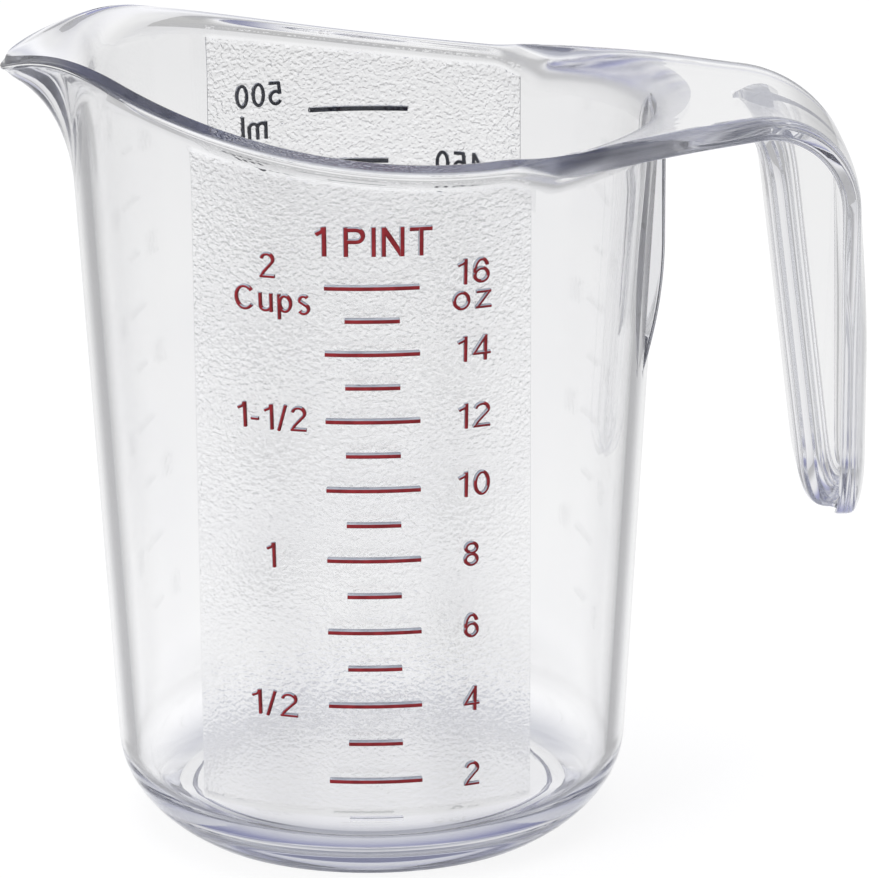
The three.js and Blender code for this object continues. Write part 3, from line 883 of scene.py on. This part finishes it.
def line(*corners):
    """Straight strokes between corners."""
    return np.array(corners, float)


def upright(x, high=1):
    """Straight stroke up from the foot line."""
    return line((x, 0), (x, high))


def level_line(y, start, end):
    """Level straight stroke."""
    return line((start, y), (end, y))


def joined(*paths):
    """One stroke along several paths."""
    return np.vstack(paths)


def sign_strokes(sign, pen):
    """Centre lines of a sign's strokes for a pen of that half width, and the sign's width."""
    top = 1 - pen
    small = 0.73
    signs = {
        "0": ([oval(0.27, 0.5, 0.27 - pen, 0.5 - pen, 40)], 0.54),
        "1": ([upright(0.29), joined(line((0.06, 0.74)), arc(0.06, 0.95, 0.21, 0.17, -70, 15, 9))], 0.36),
        "2": ([
            joined(
                arc(0.265, 0.72, 0.265 - pen, 0.28 - pen, 172, -28, 20),
                line((0.12, 0.22), (0.05, pen)),
            ),
            level_line(pen, 0, 0.52),
        ], 0.52),
        "3": ([
            arc(0.25, 0.745, 0.225 - pen / 2, 0.255 - pen, 160, -90, 20),
            arc(0.25, 0.275, 0.26 - pen, 0.275 - pen, 90, -160, 22),
        ], 0.52),
        "4": ([upright(0.4), line((0.38, 0.95), (0.03, 0.29)), level_line(0.29, 0, 0.55)], 0.56),
        "5": ([
            level_line(top, 0.11, 0.49),
            line((0.13, 0.97), (0.075, 0.47)),
            arc(0.255, 0.325, 0.275 - pen, 0.325 - pen, 140, -155, 24),
        ], 0.53),
        "6": ([
            oval(0.27, 0.32, 0.27 - pen, 0.32 - pen, 32),
            arc(0.27, 0.5, 0.27 - pen, 0.5 - pen, 28, 190, 22),
        ], 0.54),
        "8": ([
            oval(0.27, 0.745, 0.225 - pen / 2, 0.255 - pen, 30),
            oval(0.27, 0.28, 0.27 - pen, 0.28 - pen, 32),
        ], 0.54),
        "-": ([level_line(0.38, 0.02, 0.28)], 0.3),
        "/": ([line((0.02, -0.02), (0.28, 1.02))], 0.3),
        "P": ([upright(pen), joined(
            level_line(top, pen, 0.36),
            arc(0.38, 0.715, 0.28 - pen, 0.285 - pen, 88, -88, 18),
            level_line(0.43 + pen, 0.36, pen),
        )], 0.66),
        "I": ([upright(pen)], 0.15),
        "N": ([upright(pen), line((pen, 0.97), (0.7 - pen, 0.03)), upright(0.7 - pen)], 0.7),
        "T": ([level_line(top, 0, 0.66), upright(0.33, top)], 0.66),
        "C": ([arc(0.37, 0.5, 0.37 - pen, 0.5 - pen, 38, 322, 36)], 0.7),
        "u": ([
            joined(line((pen, small), (pen, 0.3)), arc(0.25, 0.25, 0.25 - pen, 0.25 - pen, 180, 352, 18)),
            upright(0.5 - pen, small),
        ], 0.5),
        "p": ([line((pen, -0.26), (pen, small)), oval(0.27, 0.365, 0.25 - pen, 0.365 - pen, 30)], 0.52),
        "s": ([joined(
            arc(0.23, 0.54, 0.2 - pen, 0.19 - pen / 2, 30, 200, 14),
            arc(0.23, 0.19, 0.22 - pen, 0.2 - pen / 2, 60, -150, 18),
        )], 0.46),
        "o": ([oval(0.28, 0.365, 0.28 - pen, 0.375 - pen, 34)], 0.56),
        "z": ([
            level_line(small - pen, 0.02, 0.47),
            line((0.45, 0.7), (0.04, 0.04)),
            level_line(pen, 0, 0.49),
        ], 0.49),
        "m": ([
            upright(pen, small),
            joined(arc(0.235, 0.5, 0.235 - pen, 0.23 - pen, 170, 0, 14), line((0.47 - pen, 0))),
            joined(arc(0.575, 0.5, 0.165, 0.23 - pen, 160, 0, 14), line((0.74, 0))),
        ], 0.8),
        "l": ([upright(pen)], 0.13),
        " ": ([], 0.2),
    }
    return signs[sign]


def word_strokes(word, pen):
    """All strokes of a word, set one after another and centred, in capital heights."""
    strokes = []
    place = 0.0
    for sign in word:
        paths, width = sign_strokes(sign, pen)
        strokes += [path + (place, 0) for path in paths]
        place += width + LETTER_SPACE
    middle = (place - LETTER_SPACE) / 2
    return [path - (middle, 0) for path in strokes]


def stroke_sections(path, half, relief, bevels):
    """A bar with bevelled front edges carried along a flat path: its corners are the path plus or minus the
    half width along the path's normal. Returns points as along, up and out, and whether the path closes."""
    gaps = np.linalg.norm(np.diff(path, axis=0), axis=1)
    path = path[np.hstack((True, gaps > SAME_PLACE))]
    closed = np.allclose(path[0], path[-1])
    ahead = unit(np.diff(path, axis=0))
    first, last = (ahead[-1], ahead[0]) if closed else (ahead[0], ahead[-1])
    after = np.vstack((ahead, last))
    along = unit(np.vstack((first, ahead)) + after)
    stretch = 1 / np.maximum(MITRE_LEAST, (along * after).sum(1))
    normal = np.stack((-along[:, 1], along[:, 0]), -1) * stretch[:, None]
    low, high = bevels
    side = np.array((-half, -half, -half + low, half - high, half, half))
    height = np.array((0, relief - low, relief, relief, relief - high, 0))
    flat = path[:, None, :] + normal[:, None, :] * side[None, :, None]
    out = np.broadcast_to(height[None, :, None], (*flat.shape[:2], 1))
    return np.concatenate((flat, out), 2), closed


def on_wall(points, middle_x, level, back):
    """Wraps along, up and out onto the tapered wall: along runs round the wall from the angle where the
    wall is at that X, and reads from left to right seen from outside."""
    radius = outer_radius(level)
    facing = 1 if back else -1
    turn = math.asin(-facing * middle_x / radius) + points[..., 0] / radius
    z = level + points[..., 1]
    wall = outer_radius(z) + MARK_SEAT + points[..., 2]
    return np.stack((-facing * wall * np.sin(turn), facing * wall * np.cos(turn), z), -1)


def inked_piece(name, strokes, half, relief, bevels, middle_x, level, back, finishes):
    """Raised strokes on the wall. Each stroke stands a hair higher than the one before, so crossing faces
    don't share a plane. Faces that look up, and on the front those that look to the left, have no ink and
    take the second material, a grey painted reflection that stands in for bare clear plastic."""
    points = []
    faces = []
    start = 0
    for number, path in enumerate(strokes):
        sections, closed = stroke_sections(path, half, relief + STROKE_STEP * number, bevels)
        wrapped = on_wall(sections, middle_x, level, back)
        if closed:
            wrapped = wrapped[:-1]
        stations, around, _ = wrapped.shape
        faces += (tube_faces(stations, around, closed) + start).tolist()
        if not closed:
            faces += (cap_faces(stations, around) + start).tolist()
        points.append(wrapped.reshape(-1, 3))
        start += stations * around
    piece = new_piece(name, np.vstack(points), faces, finishes)
    # Painted reflection: faces turned up, and on the front turned up and left, take the grey side paint in
    # place of ink
    sheen_faces = face_vectors(piece.data, "normal") @ (PAINTED_SHEEN_BACK if back else PAINTED_SHEEN_FRONT) > PAINTED_SHEEN_LIMIT
    piece.data.polygons.foreach_set("material_index", sheen_faces.astype(np.int32))
    piece.data.set_sharp_from_angle(angle=math.radians(SHARP_LETTER))
    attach(piece, "root")
    return piece


# Materials


def add_node(tree, kind, inputs=(), **settings):
    """Adds a shader node with its settings and returns its outputs. An input is given as a value, or as the
    output that it is linked from."""
    node = tree.nodes.new("ShaderNode" + kind)
    for name, value in settings.items():
        setattr(node, name, value)
    for name, value in dict(inputs).items():
        if isinstance(value, bpy.types.NodeSocket):
            tree.links.new(value, node.inputs[name])
        else:
            node.inputs[name].default_value = value
    return node.outputs


def combined(tree, operation, *values):
    """Output of a math node on the outputs of other nodes."""
    return add_node(tree, "Math", enumerate(values), operation=operation)["Value"]


def empty_tree(owner):
    """Node tree of a material or a world, with nothing in it."""
    owner.use_nodes = True
    owner.node_tree.nodes.clear()
    return owner.node_tree


def mottling_group():
    """Group that turns Object coordinates into a soft mottling between two colours and two roughnesses."""
    group = bpy.data.node_groups.new("mottling", "ShaderNodeTree")
    for name, way, kind in (
        ("Scale", "INPUT", "Float"),
        ("Light", "INPUT", "Color"),
        ("Dark", "INPUT", "Color"),
        ("Smooth", "INPUT", "Float"),
        ("Rough", "INPUT", "Float"),
        ("Color", "OUTPUT", "Color"),
        ("Roughness", "OUTPUT", "Float"),
    ):
        group.interface.new_socket(name, in_out=way, socket_type="NodeSocket" + kind)
    given = group.nodes.new("NodeGroupInput").outputs
    result = group.nodes.new("NodeGroupOutput").inputs
    place = add_node(group, "TexCoord")["Object"]
    pattern = {"Vector": place, "Scale": given["Scale"], "Detail": MOTTLE_DETAIL}
    noise = add_node(group, "TexNoise", pattern)["Fac"]
    low, high = MOTTLE_RANGE
    tone = add_node(group, "MapRange", {"Value": noise, "From Min": low, "From Max": high})["Result"]
    blend = {"Factor": tone, "A": given["Light"], "B": given["Dark"]}
    finish = {"Value": tone, "To Min": given["Smooth"], "To Max": given["Rough"]}
    group.links.new(add_node(group, "Mix", blend, data_type="RGBA")["Result"], result["Color"])
    group.links.new(add_node(group, "MapRange", finish)["Result"], result["Roughness"])
    return group


mottling = mottling_group()


def mottled(tree, scale, light, dark, smoothest, roughest):
    """Colour and roughness outputs of the mottling between the given ones."""
    colours = {"Light": (*light, 1), "Dark": (*dark, 1)}
    inputs = {"Scale": scale, "Smooth": smoothest, "Rough": roughest, **colours}
    return add_node(tree, "Group", inputs, node_tree=mottling)


def mottled_paint(name, tones):
    """Opaque material with slight patches of colour and gloss."""
    material = bpy.data.materials.new(name)
    tree = empty_tree(material)
    paint = mottled(tree, *tones)
    surface = {"Base Color": paint["Color"], "Roughness": paint["Roughness"]}
    add_node(tree, "OutputMaterial", {"Surface": add_node(tree, "BsdfPrincipled", surface)["BSDF"]})
    return material


def clear_plastic():
    """Tinted clear plastic with faint smears, polished, and satin where a face attribute says so. On the
    panels, which another marks, a moulded pebble grain that fades towards the foot drives the bump."""
    material = bpy.data.materials.new("clear_plastic")
    tree = empty_tree(material)
    smears = mottled(tree, *SMEARS)
    satin = add_node(tree, "Attribute", attribute_name="satin")["Fac"]
    panel = add_node(tree, "Attribute", attribute_name="panel")["Fac"]
    place = add_node(tree, "TexCoord")["Object"]
    stretched = add_node(tree, "VectorMath", {0: place, 1: GRAIN_STRETCH}, operation="MULTIPLY")["Vector"]
    pattern = {"Vector": stretched, "Scale": GRAIN_SCALE, "Detail": 0, "Distortion": GRAIN_DISTORTION}
    pebble = add_node(tree, "TexNoise", pattern)["Fac"]
    height = add_node(tree, "SeparateXYZ", {"Vector": place})["Z"]
    low, high = GRAIN_FADE
    fade = {"Value": height, "From Min": low, "From Max": high, "To Min": GRAIN_LEAST}
    faded = combined(tree, "MULTIPLY", pebble, add_node(tree, "MapRange", fade)["Result"])
    relief = {"Strength": 1, "Distance": GRAIN_DEPTH, "Height": combined(tree, "MULTIPLY", faded, panel)}
    surface = {
        "Base Color": smears["Color"],
        "Roughness": combined(tree, "ADD", satin, smears["Roughness"]),
        "IOR": PLASTIC_IOR,
        "Transmission Weight": 1,
        "Normal": add_node(tree, "Bump", relief)["Normal"],
    }
    shader = add_node(tree, "BsdfPrincipled", surface)["BSDF"]
    inside = add_node(tree, "VolumeAbsorption", {"Color": (*PLASTIC_TINT, 1), "Density": PLASTIC_DENSITY})
    add_node(tree, "OutputMaterial", {"Surface": shader, "Volume": inside["Volume"]})
    return material


clear = clear_plastic()
# Grey paint for the faces of marks and letters that look up, and left on the front: a painted reflection of
# bare clear plastic
painted_side_sheen = mottled_paint("painted_side_sheen", SIDE_SHEEN_TONES)
inks = {
    "clear_plastic": [clear, clear],
    "red_ink": [mottled_paint("red_ink", RED_INK), painted_side_sheen],
    "navy_ink": [mottled_paint("navy_ink", NAVY_INK), painted_side_sheen],
}

# Pieces

moulding = new_piece("clear_moulding", *moulding_mesh(), [clear])
for part_name, sections, reverse in (("grip", grip_mesh(), True), ("pad", pad_mesh(), False)):
    join_into(moulding, loft_piece(part_name, sections, clear, reverse))
mark_finishes(moulding)
moulding.data.set_sharp_from_angle(angle=math.radians(SHARP_MOULDING))
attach(moulding, "root")
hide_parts("cup_body")

slots = {row["node"]: row["material_slot"] for row in frame["record"]["subparts"]}


def mark_bar(name):
    """Bar in place of a CAD volume mark, at its height and as long round the wall as its box is wide."""
    low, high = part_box(name)
    level = mark_level(name)
    radius = outer_radius(level)
    middle = (low.x + high.x) / 2 / MM - axis_x
    half_turn = math.asin(min(1, (high.x - low.x) / 2 / MM / (radius + MARK_SEAT + MARK_RELIEF)))
    run = np.linspace(-half_turn * radius, half_turn * radius, BAR_STEPS)
    path = np.stack((run, np.zeros(BAR_STEPS)), -1)
    half = (high.z - low.z) / 2 / MM
    back = low.y > 0
    slot = slots[name]
    bevels = (MARK_LOW_BEVEL, MARK_TOP_BEVEL)
    bar = inked_piece(f"{name}_bar", [path], half, MARK_RELIEF, bevels, middle, level, back, inks[slot])
    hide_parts(name)


for name in sorted(frame["nodes"]):
    if "_mark_" in name:
        mark_bar(name)


def lettering(name, word, middle_x, level, slot, height=LETTER_HEIGHT, pen=STROKE_HALF, wide=1.0):
    """A word whose middle is at that X and whose capitals are centred on that level."""
    strokes = [(path - (0, 0.5)) * (wide * height, height) for path in word_strokes(word, pen)]
    bevels = (LETTER_BEVEL, LETTER_BEVEL)
    back = slot == "navy_ink"
    half = pen * height
    piece = inked_piece(name, strokes, half, LETTER_RELIEF, bevels, middle_x, level, back, inks[slot])


lettering("pint_title", "1 PINT", *TITLE_PLACE, "red_ink", TITLE_HEIGHT, TITLE_STROKE_HALF, TITLE_WIDE)
for name, word, middle_x, level, wide in CUP_WORDS:
    lettering(name, word, middle_x, level, "red_ink", wide=wide)
for ounces in range(2, TOP_OUNCE + 2, 2):
    level = mark_level(f"ounce_mark_{ounces:02d}") + (TOP_OUNCE_LIFT if ounces == TOP_OUNCE else 0)
    middle_x, wide = OUNCE_TWO_DIGITS if ounces > 9 else OUNCE_ONE_DIGIT
    lettering(f"ounces_{ounces}", str(ounces), middle_x, level, "red_ink", wide=wide)
lettering("ounces_word", "oz", *OUNCE_WORD_PLACE, "red_ink", wide=OUNCE_WORD_WIDE)
for volume in range(50, TOP_VOLUME + 50, 50):
    level = mark_level(f"metric_mark_{volume:03d}") + (TOP_VOLUME_LIFT if volume == TOP_VOLUME else 0)
    middle_x = HUNDREDS_X if volume % 100 == 0 else FIFTIES_X
    lettering(f"millilitres_{volume}", str(volume), middle_x, level, "navy_ink", wide=VOLUME_WIDE)
word_level = mark_level(f"metric_mark_{TOP_VOLUME}") - VOLUME_WORD_DROP
lettering("millilitres_word", "ml", VOLUME_WORD_X, word_level, "navy_ink", wide=VOLUME_WIDE)

# Stage: a round floor, a room, two soft lamps and the camera


def colour_ramp(tree, value, colours):
    """Colour output of a ramp with soft steps between the given places and their colours or greys."""
    node = tree.nodes.new("ShaderNodeValToRGB")
    node.color_ramp.interpolation = "EASE"
    stops = node.color_ramp.elements
    stops.remove(stops[1])
    for number, (place, colour) in enumerate(colours):
        stop = stops.new(place) if number else stops[0]
        stop.position = place
        stop.color = (*np.broadcast_to(colour, 3), 1)
    tree.links.new(value, node.inputs["Fac"])
    return node.outputs["Color"]


def floor_material():
    """White to the camera. The plastic shows it in colours that change with the direction it is seen from.
    Part of its light is from the lamps, so the cup's shadow stays on it."""
    material = bpy.data.materials.new("pale_floor")
    tree = empty_tree(material)
    rays = add_node(tree, "LightPath")
    to_camera = rays["Is Camera Ray"]
    in_plastic = combined(tree, "MAXIMUM", rays["Is Glossy Ray"], rays["Is Transmission Ray"])
    heading = add_node(tree, "SeparateXYZ", {"Vector": add_node(tree, "NewGeometry")["Incoming"]})
    tone = colour_ramp(tree, heading["Z"], FLOOR_COLOURS)
    flank = colour_ramp(tree, combined(tree, "ABSOLUTE", heading["X"]), FLANK_SHARES)
    dimming = {"Factor": in_plastic, "A": tone, "B": flank}
    sheen = add_node(tree, "Mix", dimming, data_type="RGBA", blend_type="MULTIPLY")["Result"]
    choice = {"Factor": to_camera, "A": sheen, "B": WHITE}
    seen = add_node(tree, "Mix", choice, data_type="RGBA")["Result"]
    lit = combined(tree, "MAXIMUM", in_plastic, to_camera)
    glow = add_node(tree, "Emission", {"Color": seen, "Strength": lit})["Emission"]
    paper = add_node(tree, "BsdfDiffuse", {"Color": PAPER})["BSDF"]
    both = add_node(tree, "MixShader", {"Fac": FLOOR_GLOW, 1: paper, 2: glow})["Shader"]
    add_node(tree, "OutputMaterial", {"Surface": both})
    material.cycles.emission_sampling = "NONE"
    return material


def stage_floor():
    """Round floor just under the cup's foot, as rings of quads."""
    angle = np.linspace(0, 360, FLOOR_SIDES, endpoint=False)
    rings = ring_rows(np.linspace(*FLOOR_RADII, FLOOR_RINGS), FLOOR_Z, angle)
    faces = [*tube_faces(FLOOR_RINGS, FLOOR_SIDES).tolist(), list(range(FLOOR_SIDES))]
    mesh = bpy.data.meshes.new("floor")
    mesh.from_pydata(rings.reshape(-1, 3), [], faces)
    mesh.materials.append(floor_material())
    floor = new_object("floor", mesh)


def stage_world():
    """White to the camera. To everything else a room that is grey at the horizon, pale above it, dim blue
    higher up and white overhead."""
    world = bpy.data.worlds.new("studio")
    tree = empty_tree(world)
    heading = add_node(tree, "SeparateXYZ", {"Vector": add_node(tree, "TexCoord")["Generated"]})
    tone = colour_ramp(tree, heading["Z"], ROOM_COLOURS)
    room = add_node(tree, "Background", {"Color": tone})["Background"]
    backdrop = add_node(tree, "Background", {"Color": WHITE})["Background"]
    to_camera = add_node(tree, "LightPath")["Is Camera Ray"]
    both = add_node(tree, "MixShader", {"Fac": to_camera, 1: room, 2: backdrop})["Shader"]
    add_node(tree, "OutputWorld", {"Surface": both})
    bpy.context.scene.world = world


def soft_lamp(name, place, aim, size, power):
    """Soft rectangular lamp at a place, turned to face a point. It lights the floor and the ink, and the
    plastic shows no image of it."""
    data = bpy.data.lights.new(name, "AREA")
    data.shape = "RECTANGLE"
    data.size, data.size_y = size
    data.energy = power
    lamp = new_object(name, data)
    lamp.location = place
    lamp.rotation_mode = "QUATERNION"
    lamp.rotation_quaternion = (Vector(aim) - Vector(place)).to_track_quat("-Z", "Y")
    lamp.visible_glossy = False
    lamp.visible_transmission = False


def stage_camera():
    """Camera at the fitted place: pitched down, rolled a little, its frame shifted down from its axis."""
    data = bpy.data.cameras.new("camera")
    data.sensor_fit = "HORIZONTAL"
    data.sensor_width = SENSOR_WIDTH
    data.lens = FOCAL_PIXELS * SENSOR_WIDTH / IMAGE_WIDTH
    data.shift_y = (AXIS_ROW - IMAGE_HEIGHT / 2) / IMAGE_WIDTH
    data.clip_start, data.clip_end = CLIP_RANGE
    camera = new_object("camera", data)
    pitched = Matrix.Rotation(math.radians(90 - CAMERA_PITCH), 4, "X")
    rolled = Matrix.Rotation(math.radians(CAMERA_ROLL), 4, "Z")
    camera.matrix_world = Matrix.Translation(CAMERA_PLACE) @ pitched @ rolled
    bpy.context.scene.camera = camera


stage_floor()
stage_world()
for lamp_row in LAMPS:
    soft_lamp(*lamp_row)
stage_camera()
scene = bpy.context.scene
scene.view_settings.view_transform = "Standard"
scene.cycles.max_bounces = BOUNCES
scene.cycles.transmission_bounces = BOUNCES
scene.cycles.glossy_bounces = BOUNCES
